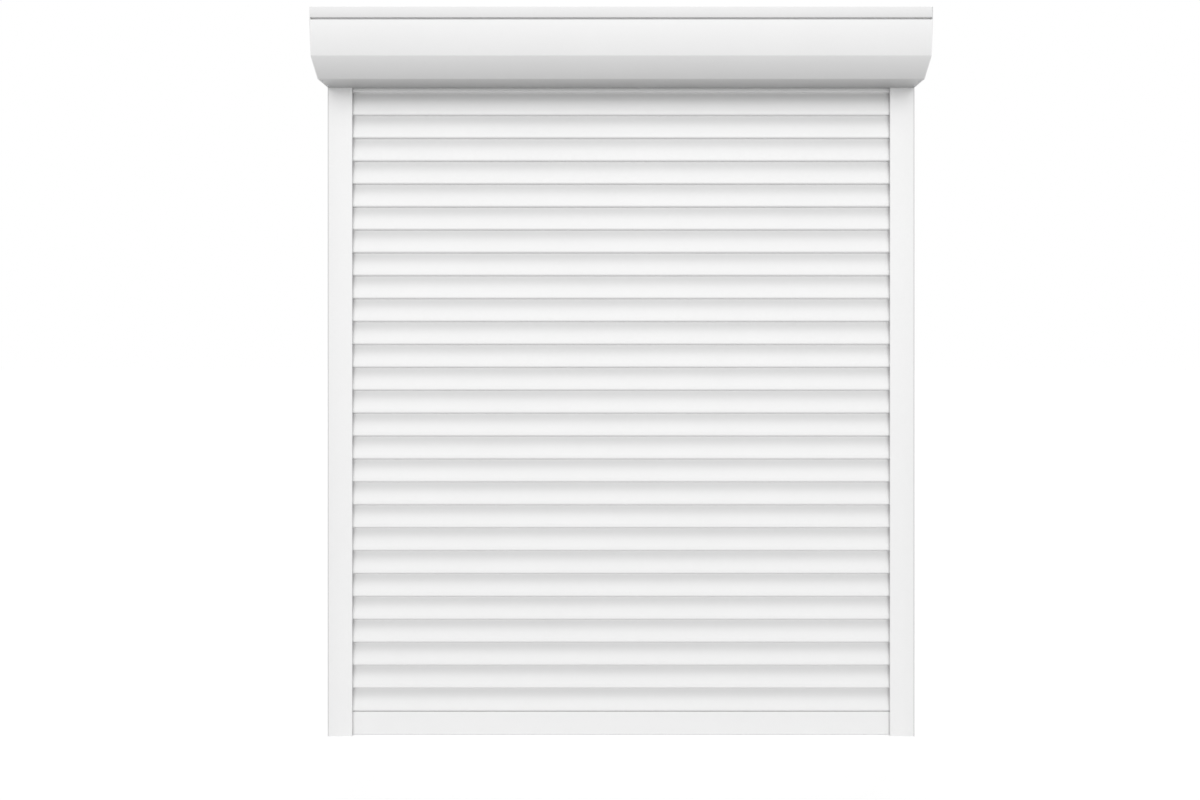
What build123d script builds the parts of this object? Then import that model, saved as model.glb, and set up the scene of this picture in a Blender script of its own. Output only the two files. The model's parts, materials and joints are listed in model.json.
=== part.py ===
from build123d import *
import os
from math import ceil

os.makedirs("parts", exist_ok=True)

# Exterior roller shutter, closed.
# X runs along the box, Y points to the wall and Z is up.
# The origin is on the wall plane, in the middle of the sill line.

# Overall sizes
shutter_width = 1900
guide_height = 2100
box_height = 200
box_depth = 205

# Box outline, seen from its end
box_face_lean = 12
box_bevel_height = 54
box_bevel_run = 63
box_lip_height = 33
box_groove = 6.5
box_return = 9
box_hem = 6
box_bend = 2.5
box_hook_gap = 1
panel_wall = 1.2
inlet_front = 30
inlet_back = 8.6
inlet_lip = 12

# Side caps of the box
cap_wall = 3
cap_rim = 14
cap_rim_wall = 2.5
cap_clearance = 0.3
cap_shoe = 3
cap_shoe_depth = 19
shoe_back = 9
cap_lug_length = 50
cap_lug_width = 18
cap_lug_depth = 10
boss_height = 8
boss_radius = 6
bracket_pitch = 56
funnel_wall = 1.4
funnel_height = 22
funnel_flare = 16
funnel_clearance = 0.3

# Guides
guide_width = 79
guide_depth = 34
guide_wall = 2
guide_chamber = 26
cover_wall = 1.8
cover_leg = 1.2
cover_leg_length = 8.4
cover_bead = 0.8
cover_bead_height = 1.4
cover_edge_radius = 1
guide_front_wall = 1.6
guide_front_gap = 2.2
guide_clearance = 0.3
guide_hole_radius = 3.5
guide_hole_inset = 150
brush_width = 6.6
brush_backing = 1.2
brush_pile_width = 4.8
brush_inset = 7
brush_rib = 1
brush_rib_height = 2.4
foot_height = 20
foot_chamfer = 1.5

# Curtain
curtain_setback = 10.5
slat_thickness = 13
slat_pitch = 74.5
slat_wall = 1
slat_grip = 46
pocket_height = 10
joint_gap = 0.8
hook_radius = 2.7
hook_rise = 4.5
hook_leg_drop = 1.6
catch_height = 4.6
end_lock_wall = 1.8
end_lock_plug = 15
end_lock_clearance = 0.4

# Bottom bar
bar_height = 76
bar_foot = 1
seal_groove = 9
seal_lip = 3
seal_head = 3
seal_clearance = 0.3

# Winding tube, idler and bearing
tube_sides = 8
tube_flats = 60
tube_wall = 0.9
tube_bend = 3
tube_left_gap = 47
tube_right_gap = 42
capsule_length = 60
capsule_flange = 3
capsule_clearance = 0.3
capsule_wall = 2.5
pin_radius = 6
pin_reach = 22
pin_chamfer = 0.5
running_gap = 1
bearing_radius = 14
bearing_width = 8
bearing_ring_wall = 2.3
ball_count = 8
fit_clearance = 0.05
bracket_wall = 3
bracket_size = 76
cup_wall = 4

# Tubular motor
motor_radius = 22.5
motor_wall = 1.2
motor_length = 560
motor_head_radius = 27
motor_head_length = 24
motor_end_wall = 3
motor_stub = 16
motor_stub_clearance = 0.3
crown_length = 22
wheel_length = 24
wheel_holes = 6
motor_shaft_radius = 6
motor_shaft_length = 30
motor_pin_radius = 1.5
motor_pin_length = 34

# Suspension straps
strap_count = 4
strap_width = 22
strap_wall = 0.6
strap_edge = 160
strap_tab = 4
strap_slot_clearance = 0.8
strap_hem = 1
strap_bend = 6
strap_leg = 6
strap_hook_gap = 1.2

# Screws and cable inlet
screw_radius = 2
screw_head_radius = 4
screw_head_height = 2.2
screw_length = 9
screw_pilot_clearance = 0.1
gland_radius = 7
gland_bore = 3.75
gland_flange = 10
gland_flange_wall = 2
gland_length = 8

# Shares of a slat's thickness and pitch that shape its rolled face and hooks
face_top_share = 0.46
face_mid_share = 0.892
face_mid_height_share = 0.54
neck_share = 0.246
lip_share = 0.83
lip_mid_share = 0.955
catch_share = 0.477

# Shares of the tube's flats that place its straps and the drive wheel's holes
strap_top_share = 0.13
strap_bend_share = 0.23
wheel_hole_place_share = 0.29
wheel_hole_share = 0.09

# Shares of the box's underside and of its depth that place its screws
underside_screw_shares = (0.46, 0.85)
top_screw_shares = (0.25, 0.75)

# Shares of a funnel's flare that place the middle of its curve
flare_out_share = 0.3
flare_up_share = 0.7

# Places that follow from the sizes above
half_width = shutter_width / 2
panel_end = half_width - cap_wall
box_top = guide_height + box_height
box_bevel_depth = box_depth - box_face_lean
box_underside_depth = box_bevel_depth - box_bevel_run
axis_y = -box_depth / 2
axis_z = guide_height + box_height / 2
slat_end = half_width - guide_width + slat_grip
slat_count = ceil((guide_height - bar_height) / slat_pitch)


def rectangle_between(low_x, high_x, low_y, high_y, mode=Mode.ADD):
    """Adds a rectangle to the sketch, from its low corner to its high corner."""
    with Locations(((low_x + high_x) / 2, (low_y + high_y) / 2)):
        Rectangle(high_x - low_x, high_y - low_y, mode=mode)


def save(piece, name):
    """Labels a finished piece and writes it to its own file."""
    piece.label = name
    export_step(piece, f"parts/{name}.step")


# Slat: a hollow double wall, a hook on its top edge and a catch behind its front lip
def depth(thickness):
    """Gives the Y place of a point this far in front of the curtain's back."""
    return -curtain_setback - thickness


slat_back = slat_wall / 2
slat_front = slat_thickness - slat_wall / 2
web_z = pocket_height + slat_wall / 2
shoulder_z = slat_pitch - joint_gap - slat_wall / 2
neck_u = slat_thickness * neck_share
hook_z = slat_pitch + hook_rise
lip_u = slat_thickness * lip_share
catch_u = slat_thickness * catch_share


def hook_line(base_z, joint_z):
    """Gives the middle line of a top edge's hook: neck, round head and short leg."""
    head_z = joint_z + hook_rise
    leg_u = neck_u + 2 * hook_radius
    with BuildLine() as hook:
        Line((depth(neck_u), base_z), (depth(neck_u), head_z))
        ThreePointArc(
            (depth(neck_u), head_z),
            (depth(neck_u + hook_radius), head_z + hook_radius),
            (depth(leg_u), head_z),
        )
        Line((depth(leg_u), head_z), (depth(leg_u), head_z - hook_leg_drop))
    return hook.line


def cell_line():
    """Gives the middle line of the slat's closed cell."""
    with BuildLine() as cell:
        Polyline(
            (depth(slat_front), web_z),
            (depth(slat_back), web_z),
            (depth(slat_back), shoulder_z - neck_u),
            (depth(neck_u), shoulder_z),
            (depth(slat_thickness * face_top_share), shoulder_z),
        )
        ThreePointArc(
            (depth(slat_thickness * face_top_share), shoulder_z),
            (depth(slat_thickness * face_mid_share), slat_pitch * face_mid_height_share),
            (depth(slat_front), web_z),
        )
    return cell.line


def lip_line():
    """Gives the middle line of the front lip with the catch that holds the next hook."""
    with BuildLine() as lip:
        ThreePointArc(
            (depth(slat_front), web_z),
            (depth(slat_thickness * lip_mid_share), web_z / 2),
            (depth(lip_u), slat_wall / 2),
        )
        Line((depth(lip_u), slat_wall / 2), (depth(catch_u), slat_wall / 2))
        Line((depth(catch_u), slat_wall / 2), (depth(catch_u), catch_height))
    return lip.line


with BuildPart() as slat_blank:
    with BuildSketch(Plane.YZ) as slat_section:
        trace(cell_line(), line_width=slat_wall)
        trace(hook_line(shoulder_z, slat_pitch), line_width=slat_wall)
        trace(lip_line(), line_width=slat_wall)
        rectangle_between(depth(slat_wall), depth(0), slat_wall / 2, web_z)
    extrude(amount=slat_end, both=True)

with BuildPart() as end_lock:
    with BuildSketch(Plane.YZ.offset(slat_end)) as lock_flange:
        make_face(cell_line().edges())
    extrude(amount=end_lock_wall)
    with BuildSketch(Plane.YZ.offset(slat_end)) as lock_plug:
        make_face(cell_line().edges())
        offset(amount=-slat_wall / 2 - end_lock_clearance, mode=Mode.REPLACE)
    extrude(amount=-end_lock_plug)
    mirror(about=Plane.YZ)

for number in range(slat_count):
    slat_place = Location((0, 0, bar_height + number * slat_pitch))
    slat = Compound([slat_blank.part.solid().moved(slat_place)] +
                    [lock.moved(slat_place) for lock in end_lock.part.solids()])
    save(slat, f"slat_{number + 1:02d}")


# Bottom bar: one flat hollow section with the same hook and a groove for its seal
bar_shoulder_z = bar_height - joint_gap - slat_wall / 2
bar_web_z = bar_foot + seal_groove


def bar_cell_line():
    """Gives the middle line of the bottom bar's closed cell."""
    with BuildLine() as cell:
        Polyline(
            (depth(slat_front), bar_web_z),
            (depth(slat_back), bar_web_z),
            (depth(slat_back), bar_shoulder_z - neck_u),
            (depth(neck_u), bar_shoulder_z),
            (depth(slat_front), bar_shoulder_z),
            close=True,
        )
    return cell.line


with BuildPart() as bottom_bar:
    with BuildSketch(Plane.YZ) as bar_section:
        trace(bar_cell_line(), line_width=slat_wall)
        trace(hook_line(bar_shoulder_z, bar_height), line_width=slat_wall)
        rectangle_between(depth(slat_thickness), depth(slat_thickness - slat_wall), bar_foot, bar_web_z)
        rectangle_between(depth(slat_wall), depth(0), bar_foot, bar_web_z)
        rectangle_between(
            depth(slat_thickness), depth(slat_thickness - seal_lip), bar_foot, bar_foot + slat_wall
        )
        rectangle_between(depth(seal_lip), depth(0), bar_foot, bar_foot + slat_wall)
    extrude(amount=slat_end, both=True)
save(bottom_bar.part, "bottom_bar")

with BuildPart() as bottom_seal:
    with BuildSketch(Plane.YZ) as seal_section:
        seal_head_z = bar_foot + slat_wall + seal_clearance
        rectangle_between(
            depth(slat_thickness - slat_wall - seal_clearance),
            depth(slat_wall + seal_clearance),
            seal_head_z,
            seal_head_z + seal_head,
        )
        rectangle_between(
            depth(slat_thickness - seal_lip - seal_clearance),
            depth(seal_lip + seal_clearance),
            0,
            seal_head_z,
        )
    extrude(amount=slat_end, both=True)
save(bottom_seal.part, "bottom_seal")

with BuildPart() as bar_end_caps:
    with BuildSketch(Plane.YZ.offset(slat_end)) as bar_cap_flange:
        rectangle_between(
            depth(slat_thickness), depth(0), bar_foot, bar_shoulder_z - neck_u
        )
    extrude(amount=end_lock_wall)
    with BuildSketch(Plane.YZ.offset(slat_end)) as bar_cap_plug:
        make_face(bar_cell_line().edges())
        offset(amount=-slat_wall / 2 - end_lock_clearance, mode=Mode.REPLACE)
    extrude(amount=-end_lock_plug)
    mirror(about=Plane.YZ)
save(bar_end_caps.part, "bottom_bar_end_caps")


# Guides: a channel for the curtain beside a screw chamber, with a snap-on front cover
curtain_front = -slat_blank.part.bounding_box().min.Y
chamber_end = guide_wall + guide_chamber
cover_back = guide_depth - cover_wall
channel_front = cover_back - guide_front_gap
channel_inside = channel_front - guide_front_wall
bead_back = cover_back - cover_leg_length
rib_back = bead_back + cover_bead_height + guide_clearance
chamber_middle = guide_wall + guide_chamber / 2
brush_middle = guide_width - brush_inset - brush_width / 2


def across(inset):
    """Gives the X place of a point this far inside the left guide's outer edge."""
    return -half_width + inset


def guide_rectangle(low_inset, high_inset, low_depth, high_depth):
    """Adds a rectangle to a left guide's section, by inset from its edge and depth from the wall."""
    rectangle_between(across(low_inset), across(high_inset), -high_depth, -low_depth)


def brush_pocket(base_depth, inward):
    """Adds the two hooked ribs that hold a brush on the channel's wall."""
    rib_tip = base_depth + inward * brush_rib_height
    lip_base = base_depth + inward * (brush_backing + guide_clearance)
    for side in (-1, 1):
        rib_inner = brush_middle + side * (brush_width / 2 + guide_clearance)
        rib_outer = rib_inner + side * brush_rib
        lip_inner = brush_middle + side * (brush_pile_width / 2 + guide_clearance)
        guide_rectangle(
            min(rib_inner, rib_outer),
            max(rib_inner, rib_outer),
            min(base_depth, rib_tip),
            max(base_depth, rib_tip),
        )
        guide_rectangle(
            min(lip_inner, rib_outer),
            max(lip_inner, rib_outer),
            min(lip_base, rib_tip),
            max(lip_base, rib_tip),
        )


with BuildPart() as guide_left:
    with BuildSketch() as guide_section:
        guide_rectangle(0, guide_width, 0, guide_wall)
        guide_rectangle(0, guide_wall, 0, cover_back)
        guide_rectangle(chamber_end, chamber_end + guide_wall, 0, channel_front)
        guide_rectangle(chamber_end, guide_width, channel_inside, channel_front)
        guide_rectangle(guide_width - guide_front_wall, guide_width, channel_inside, cover_back)
        guide_rectangle(guide_wall, guide_wall + cover_bead, rib_back, rib_back + cover_bead_height)
        guide_rectangle(chamber_end - cover_bead, chamber_end, rib_back, rib_back + cover_bead_height)
        brush_pocket(guide_wall, 1)
        brush_pocket(channel_inside, -1)
    extrude(amount=guide_height)
    with BuildSketch(Plane.XZ) as wall_holes:
        hole_places = (guide_hole_inset, guide_height / 2, guide_height - guide_hole_inset)
        with Locations([(across(chamber_middle), place) for place in hole_places]):
            Circle(guide_hole_radius)
    extrude(amount=guide_wall, mode=Mode.SUBTRACT)
save(guide_left.part, "guide_left")

with BuildPart() as guide_right:
    mirror(guide_left.part, about=Plane.YZ)
save(guide_right.part, "guide_right")

with BuildPart() as guide_cover_left:
    with BuildSketch() as cover_section:
        guide_rectangle(0, guide_width, cover_back, guide_depth)
        for side in (-1, 1):
            leg_outer = chamber_middle + side * (guide_chamber / 2 - cover_bead - guide_clearance)
            leg_inner = leg_outer - side * cover_leg
            bead_outer = leg_outer + side * cover_bead
            guide_rectangle(min(leg_outer, leg_inner), max(leg_outer, leg_inner), bead_back, cover_back)
            guide_rectangle(
                min(bead_outer, leg_inner),
                max(bead_outer, leg_inner),
                bead_back,
                bead_back + cover_bead_height,
            )
    extrude(amount=guide_height)
    fillet(
        guide_cover_left.edges().filter_by(Axis.Z).group_by(Axis.Y)[0],
        radius=cover_edge_radius,
    )
save(guide_cover_left.part, "guide_cover_left")

with BuildPart() as guide_cover_right:
    mirror(guide_cover_left.part, about=Plane.YZ)
save(guide_cover_right.part, "guide_cover_right")

with BuildPart() as guide_brush_left:
    with BuildSketch() as brush_section:
        brush_side = brush_middle - brush_width / 2
        pile_side = brush_middle - brush_pile_width / 2
        guide_rectangle(brush_side, brush_side + brush_width, guide_wall, guide_wall + brush_backing)
        guide_rectangle(
            pile_side,
            pile_side + brush_pile_width,
            guide_wall + brush_backing,
            curtain_setback - guide_clearance,
        )
        guide_rectangle(
            brush_side, brush_side + brush_width, channel_inside - brush_backing, channel_inside
        )
        guide_rectangle(
            pile_side,
            pile_side + brush_pile_width,
            curtain_front + guide_clearance,
            channel_inside - brush_backing,
        )
    extrude(amount=guide_height)
save(guide_brush_left.part, "guide_brush_left")

with BuildPart() as guide_brush_right:
    mirror(guide_brush_left.part, about=Plane.YZ)
save(guide_brush_right.part, "guide_brush_right")

with BuildPart() as guide_foot_left:
    with BuildSketch() as foot_section:
        guide_rectangle(
            guide_wall + guide_clearance,
            chamber_end - guide_clearance,
            guide_wall + guide_clearance,
            bead_back - guide_clearance,
        )
    extrude(amount=foot_height)
    chamfer(guide_foot_left.faces().sort_by(Axis.Z)[-1].edges(), length=foot_chamfer)
save(guide_foot_left.part, "guide_foot_left")

with BuildPart() as guide_foot_right:
    mirror(guide_foot_left.part, about=Plane.YZ)
save(guide_foot_right.part, "guide_foot_right")


# Box: two rolled panels between two side caps
groove_top = box_top - box_lip_height
groove_bottom = groove_top - box_groove
overrun = box_depth
screw_x = panel_end - cap_rim / 2
underside_screws = [-box_underside_depth * share for share in underside_screw_shares]
top_screws = [-box_depth * share for share in top_screw_shares]


def screw_holes(places):
    """Adds the panel screws' holes at both ends of the box to the sketch being drawn."""
    with Locations([(side * screw_x, place) for side in (-1, 1) for place in places]):
        Circle(screw_radius + screw_pilot_clearance)


def box_outline():
    """Gives the closed outline of the box, seen from its end."""
    with BuildLine() as outline:
        Polyline(
            (0, guide_height),
            (0, box_top),
            (-box_depth, box_top),
            (-box_depth, groove_bottom),
            (-box_bevel_depth, guide_height + box_bevel_height),
            (-box_underside_depth, guide_height),
            close=True,
        )
    return outline.line


with BuildPart() as box_top_back_panel:
    with BuildSketch(Plane.YZ) as top_back_section:
        make_face(box_outline().edges())
        fillet(top_back_section.vertices(), radius=box_bend)
        offset(amount=-panel_wall, mode=Mode.SUBTRACT)
        rectangle_between(
            -box_depth - overrun, -inlet_back, guide_height - overrun, groove_top, mode=Mode.SUBTRACT
        )
        rectangle_between(-box_depth, -box_depth + box_return, groove_top, groove_top + panel_wall)
        rectangle_between(
            -box_depth + box_return - panel_wall, -box_depth + box_return, groove_top, groove_top + box_hem
        )
    extrude(amount=panel_end, both=True)
    with BuildSketch(Plane.XY.offset(box_top)) as top_holes:
        screw_holes(top_screws)
    extrude(amount=-panel_wall, mode=Mode.SUBTRACT)
save(box_top_back_panel.part, "box_top_back_panel")

with BuildPart() as box_front_panel:
    with BuildSketch(Plane.YZ) as front_section:
        make_face(box_outline().edges())
        fillet(front_section.vertices(), radius=box_bend)
        offset(amount=-panel_wall, mode=Mode.SUBTRACT)
        rectangle_between(
            -box_depth - overrun, overrun, groove_bottom, box_top + overrun, mode=Mode.SUBTRACT
        )
        rectangle_between(-inlet_front, overrun, guide_height - overrun, groove_bottom, mode=Mode.SUBTRACT)
        hook_y = -box_depth + box_return + box_hook_gap
        rectangle_between(-box_depth, hook_y, groove_bottom - panel_wall, groove_bottom)
        rectangle_between(hook_y, hook_y + panel_wall, groove_bottom - panel_wall, groove_top + box_hem)
        rectangle_between(
            -inlet_front - panel_wall, -inlet_front, guide_height, guide_height + inlet_lip
        )
    extrude(amount=panel_end, both=True)
    with BuildSketch(Plane.XY.offset(guide_height)) as underside_holes:
        screw_holes(underside_screws)
    extrude(amount=panel_wall, mode=Mode.SUBTRACT)
save(box_front_panel.part, "box_front_panel")


# Side caps: the box's ends, with a rim inside the panels and a lug that drops into the guide
boss_places = [
    (axis_y + bracket_pitch / 2 * side_y, axis_z + bracket_pitch / 2 * side_z)
    for side_y in (-1, 1)
    for side_z in (-1, 1)
]
gland_place = (-inlet_front, box_top - box_lip_height)
rim_notch = box_return + box_hook_gap + panel_wall + cap_clearance

with BuildPart() as side_cap_left:
    with BuildSketch(Plane.YZ.offset(-half_width)) as cap_plate:
        make_face(box_outline().edges())
        fillet(cap_plate.vertices(), radius=box_bend)
    extrude(amount=cap_wall)
    with BuildSketch(Plane.YZ.offset(-panel_end)) as cap_rim_section:
        make_face(box_outline().edges())
        fillet(cap_rim_section.vertices(), radius=box_bend)
        offset(amount=-panel_wall - cap_clearance, mode=Mode.REPLACE)
        offset(amount=-cap_rim_wall, mode=Mode.SUBTRACT)
        rectangle_between(
            -box_depth,
            -box_depth + rim_notch,
            groove_bottom - panel_wall - cap_clearance,
            groove_top + box_hem + cap_clearance,
            mode=Mode.SUBTRACT,
        )
        rectangle_between(
            -inlet_front - panel_wall - cap_clearance,
            overrun,
            guide_height,
            guide_height + inlet_lip + cap_clearance,
            mode=Mode.SUBTRACT,
        )
    extrude(amount=cap_rim)
    with BuildSketch(Plane.YZ.offset(-panel_end)) as bosses:
        with Locations(boss_places):
            Circle(boss_radius)
    extrude(amount=boss_height)
    with BuildSketch(Plane.YZ.offset(-panel_end)) as pilots:
        with Locations(boss_places):
            Circle(screw_radius + screw_pilot_clearance)
    extrude(amount=boss_height, mode=Mode.SUBTRACT)
    with BuildSketch(Plane.XY.offset(guide_height)) as shoe:
        guide_rectangle(cap_wall, chamber_end, shoe_back, shoe_back + cap_shoe_depth)
    extrude(amount=cap_shoe)
    with BuildSketch(Plane.XY.offset(guide_height)) as lug:
        with Locations((across(chamber_middle), -shoe_back - cap_shoe_depth / 2)):
            Rectangle(cap_lug_width, cap_lug_depth)
    extrude(amount=-cap_lug_length)
    with BuildSketch(Plane.XY.offset(guide_height)) as rim_screws:
        screw_holes(underside_screws)
    extrude(amount=screw_length, mode=Mode.SUBTRACT)
    with BuildSketch(Plane.XY.offset(box_top)) as top_rim_screws:
        screw_holes(top_screws)
    extrude(amount=-screw_length, mode=Mode.SUBTRACT)
save(side_cap_left.part, "side_cap_left")

with BuildPart() as side_cap_right:
    mirror(side_cap_left.part, about=Plane.YZ)
    with BuildSketch(Plane.YZ.offset(panel_end)) as gland_hole:
        with Locations(gland_place):
            Circle(gland_radius + cap_clearance)
    extrude(amount=cap_wall, mode=Mode.SUBTRACT)
save(side_cap_right.part, "side_cap_right")

with BuildPart() as cable_gland:
    with BuildSketch(Plane.YZ.offset(half_width)) as gland_sleeve:
        with Locations(gland_place):
            Circle(gland_radius)
    extrude(amount=-gland_length)
    with BuildSketch(Plane.YZ.offset(panel_end)) as gland_collar:
        with Locations(gland_place):
            Circle(gland_flange)
    extrude(amount=-gland_flange_wall)
    with BuildSketch(Plane.YZ.offset(half_width)) as gland_way:
        with Locations(gland_place):
            Circle(gland_bore)
    extrude(amount=-gland_length, mode=Mode.SUBTRACT)
save(cable_gland.part, "cable_gland")

# Inlet funnels: each leads the slat ends from the roll into its guide
lock_end = slat_end + end_lock_wall
funnel_front = inlet_front - funnel_clearance
funnel_back = curtain_setback - funnel_clearance

with BuildPart() as inlet_funnel_left:
    with BuildSketch(Plane.XY.offset(guide_height)) as funnel_section:
        rectangle_between(
            -lock_end - funnel_clearance - funnel_wall,
            -half_width + guide_width,
            -funnel_front,
            -funnel_back + funnel_wall,
        )
        rectangle_between(
            -lock_end - funnel_clearance,
            -half_width + guide_width,
            -funnel_front + funnel_wall,
            -funnel_back,
            mode=Mode.SUBTRACT,
        )
    extrude(amount=funnel_height)
    with BuildSketch(Plane.YZ.offset(-half_width + guide_width)) as flare_section:
        flare_base = guide_height + funnel_height
        with BuildLine():
            Line(
                (-funnel_front + funnel_wall / 2, flare_base - funnel_wall),
                (-funnel_front + funnel_wall / 2, flare_base),
            )
            ThreePointArc(
                (-funnel_front + funnel_wall / 2, flare_base),
                (
                    -funnel_front - funnel_flare * flare_out_share,
                    flare_base + funnel_flare * flare_up_share,
                ),
                (-funnel_front - funnel_flare, flare_base + funnel_flare),
            )
        trace(line_width=funnel_wall)
    extrude(amount=-(lock_end + funnel_clearance + funnel_wall - half_width + guide_width))
save(inlet_funnel_left.part, "inlet_funnel_left")

with BuildPart() as inlet_funnel_right:
    mirror(inlet_funnel_left.part, about=Plane.YZ)
save(inlet_funnel_right.part, "inlet_funnel_right")


# Winding tube: eight flats, with a slot for each suspension strap
tube_left = -panel_end + tube_left_gap
tube_right = panel_end - tube_right_gap
inner_flats = tube_flats - 2 * tube_wall - 2 * capsule_clearance
strap_slot = strap_wall + 2 * strap_slot_clearance
strap_top_z = axis_z + tube_flats * strap_top_share
strap_span = slat_end - strap_edge
strap_places = [
    -strap_span + 2 * strap_span * number / (strap_count - 1) for number in range(strap_count)
]


def octagon(flats):
    """Adds the tube's outline with these flats to the front, back, top and bottom, on its axis."""
    with Locations((axis_y, axis_z)):
        RegularPolygon(
            flats / 2, side_count=tube_sides, major_radius=False, rotation=180 / tube_sides
        )


with BuildPart() as winding_tube:
    with BuildSketch(Plane.YZ.offset(tube_left)) as tube_section:
        octagon(tube_flats)
        fillet(tube_section.vertices(), radius=tube_bend)
        offset(amount=-tube_wall, mode=Mode.SUBTRACT)
    extrude(amount=tube_right - tube_left)
    with BuildSketch(Plane.XZ.offset(-axis_y - tube_flats / 2)) as strap_slots:
        with Locations([(place, strap_top_z) for place in strap_places]):
            Rectangle(strap_width + 2 * strap_slot_clearance, strap_slot)
    extrude(amount=strap_tab, mode=Mode.SUBTRACT)
save(winding_tube.part, "winding_tube")

# Suspension straps: spring steel bands from the tube to the top slat's hook
top_slat_z = bar_height + slat_count * slat_pitch
tube_back = axis_y + tube_flats / 2
strap_face = tube_back + strap_wall / 2
strap_hook_z = top_slat_z + slat_wall + strap_wall / 2
strap_leg_y = depth(neck_u + 2 * hook_radius) - slat_wall / 2 - strap_hook_gap

with BuildPart() as suspension_straps:
    for place in strap_places:
        with BuildSketch(Plane.YZ.offset(place)) as strap_section:
            with BuildLine():
                FilletPolyline(
                    (tube_back - strap_tab, strap_top_z),
                    (strap_face, strap_top_z),
                    (strap_face, axis_z - tube_flats * strap_bend_share),
                    (strap_leg_y, strap_hook_z + strap_leg),
                    (strap_leg_y, strap_hook_z),
                    (depth(catch_u), strap_hook_z),
                    (depth(catch_u), strap_hook_z + catch_height - slat_wall),
                    radius=[strap_hem, strap_bend, strap_bend / 2, strap_hem, strap_hem],
                )
            trace(line_width=strap_wall)
        extrude(amount=strap_width / 2, both=True)
save(suspension_straps.part, "suspension_straps")


# Idler: capsule in the tube's left end, turning on a pin in a ball bearing
with BuildPart() as idler_capsule:
    with BuildSketch(Plane.YZ.offset(tube_left)) as capsule_plug:
        octagon(inner_flats)
        fillet(capsule_plug.vertices(), radius=tube_bend)
    extrude(amount=capsule_length)
    with BuildSketch(Plane.YZ.offset(tube_left + capsule_length)) as capsule_pocket:
        with Locations((axis_y, axis_z)):
            Circle(inner_flats / 2 - capsule_wall)
            Circle(pin_radius + capsule_wall, mode=Mode.SUBTRACT)
    extrude(amount=-capsule_length + capsule_flange, mode=Mode.SUBTRACT)
    with BuildSketch(Plane.YZ.offset(tube_left)) as capsule_collar:
        octagon(tube_flats)
        fillet(capsule_collar.vertices(), radius=tube_bend)
    extrude(amount=-capsule_flange)
    with BuildSketch(Plane.YZ.offset(tube_left + capsule_length)) as pin_bore:
        with Locations((axis_y, axis_z)):
            Circle(pin_radius + fit_clearance)
    extrude(amount=-capsule_length - capsule_flange, mode=Mode.SUBTRACT)
save(idler_capsule.part, "idler_capsule")

pin_end = tube_left - capsule_flange - pin_reach

with BuildPart() as idler_pin:
    with BuildSketch(Plane.YZ.offset(pin_end)) as pin_section:
        with Locations((axis_y, axis_z)):
            Circle(pin_radius)
    extrude(amount=capsule_length + capsule_flange + pin_reach)
    chamfer(idler_pin.edges().filter_by(GeomType.CIRCLE), length=pin_chamfer)
save(idler_pin.part, "idler_pin")

bearing_start = pin_end + pin_chamfer
cup_start = -panel_end + boss_height
ring_gap_radius = (bearing_radius - bearing_ring_wall + pin_radius + fit_clearance + bearing_ring_wall) / 2
ball_radius = (
    bearing_radius - pin_radius - fit_clearance - 2 * bearing_ring_wall
) / 2 - fit_clearance

with BuildPart() as bearing_outer_ring:
    with BuildSketch(Plane.YZ.offset(bearing_start)) as outer_ring_section:
        with Locations((axis_y, axis_z)):
            Circle(bearing_radius)
            Circle(bearing_radius - bearing_ring_wall, mode=Mode.SUBTRACT)
    extrude(amount=bearing_width)
save(bearing_outer_ring.part, "bearing_outer_ring")

with BuildPart() as bearing_inner_ring:
    with BuildSketch(Plane.YZ.offset(bearing_start)) as inner_ring_section:
        with Locations((axis_y, axis_z)):
            Circle(pin_radius + fit_clearance + bearing_ring_wall)
            Circle(pin_radius + fit_clearance, mode=Mode.SUBTRACT)
    extrude(amount=bearing_width)
    with Locations(Plane.YZ.offset(bearing_start + bearing_width / 2)):
        with Locations((axis_y, axis_z)):
            with PolarLocations(ring_gap_radius, ball_count):
                Sphere(ball_radius)
save(bearing_inner_ring.part, "bearing_inner_ring")


def bracket_plate():
    """Adds a square bracket plate with its four screw holes to the sketch being drawn."""
    with Locations((axis_y, axis_z)):
        RectangleRounded(bracket_size, bracket_size, radius=boss_radius)
    with Locations(boss_places):
        Circle(screw_radius + screw_pilot_clearance, mode=Mode.SUBTRACT)


with BuildPart() as bearing_bracket:
    with BuildSketch(Plane.YZ.offset(cup_start)) as bearing_plate:
        bracket_plate()
    extrude(amount=bracket_wall)
    with BuildSketch(Plane.YZ.offset(cup_start)) as cup_section:
        with Locations((axis_y, axis_z)):
            Circle(bearing_radius + cup_wall)
    extrude(amount=bearing_start + bearing_width - cup_start)
    with BuildSketch(Plane.YZ.offset(bearing_start)) as bearing_seat:
        with Locations((axis_y, axis_z)):
            Circle(bearing_radius + fit_clearance)
    extrude(amount=bearing_width, mode=Mode.SUBTRACT)
    with BuildSketch(Plane.YZ.offset(cup_start)) as cup_way:
        with Locations((axis_y, axis_z)):
            Circle(bearing_radius - bearing_ring_wall)
    extrude(amount=bearing_start - cup_start, mode=Mode.SUBTRACT)
save(bearing_bracket.part, "bearing_bracket")


# Tubular motor: fixed in the right cap, it turns the tube through its drive wheel
head_start = tube_right + running_gap
motor_start = head_start - motor_length
bracket_inside = panel_end - boss_height - bracket_wall
stub_end = panel_end - running_gap
motor_pin_x = panel_end - boss_height + motor_pin_radius + capsule_clearance

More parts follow.
